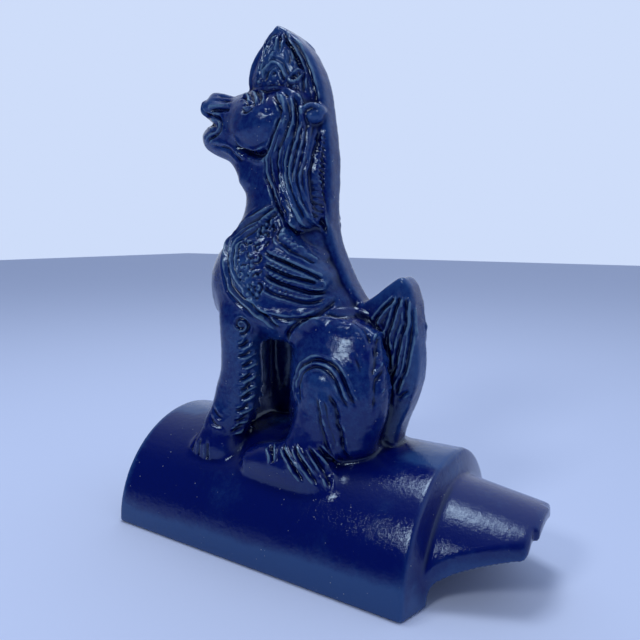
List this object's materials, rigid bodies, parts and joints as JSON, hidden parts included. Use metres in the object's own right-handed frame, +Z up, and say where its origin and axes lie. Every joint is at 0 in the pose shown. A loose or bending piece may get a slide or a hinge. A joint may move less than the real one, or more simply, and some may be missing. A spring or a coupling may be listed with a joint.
{
  "type": "ridge tile with seated beast ornament",
  "caption": "Half-round ridge tile with a step and a tapering tongue, carrying a seated maned beast with a flame crest, wings and an upright tail, in blue glazed ceramic.",
  "frame": {"origin": "on the ground plane under the middle of the tile, at the bottom centre of the bounding box", "axes": "+X along the tile towards its tongue, with the beast facing -X; +Y across the tile; +Z up"},
  "size_m": [0.202, 0.1056, 0.247],
  "materials": {
    "cobalt_glaze": "glossy, mottled cobalt glaze, thin and paler on raised edges"
  },
  "bodies": {
    "root": {"ridge_tile_beast": "cobalt_glaze"}
  },
  "joints": []
}
